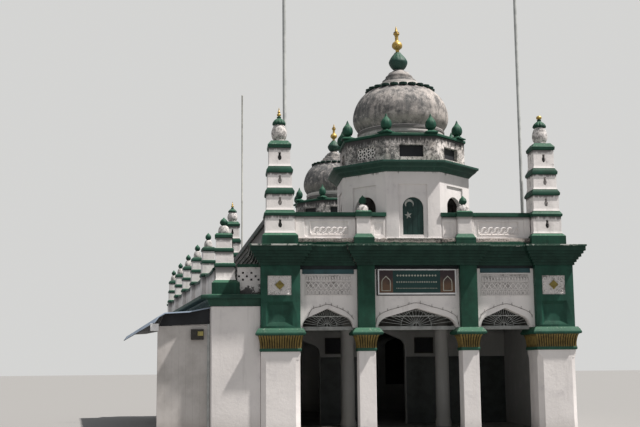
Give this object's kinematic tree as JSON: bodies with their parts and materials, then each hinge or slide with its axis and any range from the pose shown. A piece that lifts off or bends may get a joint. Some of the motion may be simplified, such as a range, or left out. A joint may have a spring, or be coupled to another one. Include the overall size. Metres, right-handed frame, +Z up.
{
  "type": "mosque building",
  "caption": "Low mosque with an arched front, stepped corner towers, bulbous domes on octagonal drums and a side wing with small turrets",
  "frame": {"origin": "on the ground, on the centre line of the front towers, midway between them", "axes": "+X to the right along the front, +Y into the building, +Z up"},
  "size_m": [11.5307, 14.824, 11.4],
  "materials": {
    "green_paint": "painted render, satin, weathered",
    "lime_plaster": "limewashed plaster, matt, rain streaked",
    "weathered_render": "bare cement render, matt, stained",
    "floor_concrete": "trowelled concrete",
    "roof_concrete": "weathered concrete",
    "gilded_finial": "cement cap painted green, gilded at the tip",
    "door_paint": "dark gloss paint",
    "sign_sheet": "painted sheet in a pale frame",
    "awning_sheet": "painted sheet metal",
    "boarding": "painted boards",
    "pole_metal": "grey paint on steel tube"
  },
  "bodies": {
    "root": {"floor_slab": "floor_concrete", "left_front_pier": "green_paint", "right_front_pier": "green_paint", "left_column": "green_paint", "right_column": "green_paint", "left_arch_wall": "lime_plaster", "centre_arch_wall": "lime_plaster", "right_arch_wall": "lime_plaster", "sign_board": "sign_sheet", "main_cornice": "green_paint", "main_roof": "roof_concrete", "left_wall": "lime_plaster", "right_wall": "lime_plaster", "rear_wall": "lime_plaster", "inner_wall": "lime_plaster", "left_porch_column": "lime_plaster", "right_porch_column": "lime_plaster", "porch_beam": "lime_plaster", "front_left_tower": "lime_plaster", "front_right_tower": "lime_plaster", "rear_left_tower": "lime_plaster", "rear_right_tower": "lime_plaster", "front_left_parapet": "lime_plaster", "front_right_parapet": "lime_plaster", "left_parapet": "lime_plaster", "right_parapet": "lime_plaster", "rear_parapet": "lime_plaster", "main_drum": "lime_plaster", "rear_drum": "lime_plaster", "main_drum_head": "lime_plaster", "rear_drum_head": "lime_plaster", "main_drum_cornice": "green_paint", "rear_drum_cornice": "green_paint", "main_drum_parapet": "weathered_render", "rear_drum_parapet": "weathered_render", "main_drum_coping": "green_paint", "rear_drum_coping": "green_paint", "main_dome": "weathered_render", "rear_dome": "weathered_render", "main_leaf_ring": "green_paint", "rear_leaf_ring": "green_paint", "main_crown": "gilded_finial", "rear_crown": "gilded_finial", "main_drum_door": "door_paint", "wing_walls": "lime_plaster", "wing_roof": "green_paint", "corner_turret": "lime_plaster", "wing_front_parapet": "lime_plaster", "wing_side_parapet": "lime_plaster", "side_awning": "awning_sheet", "awning_end_panel": "boarding", "left_flagpole": "pole_metal", "right_flagpole": "pole_metal", "side_mast": "pole_metal"}
  },
  "joints": []
}
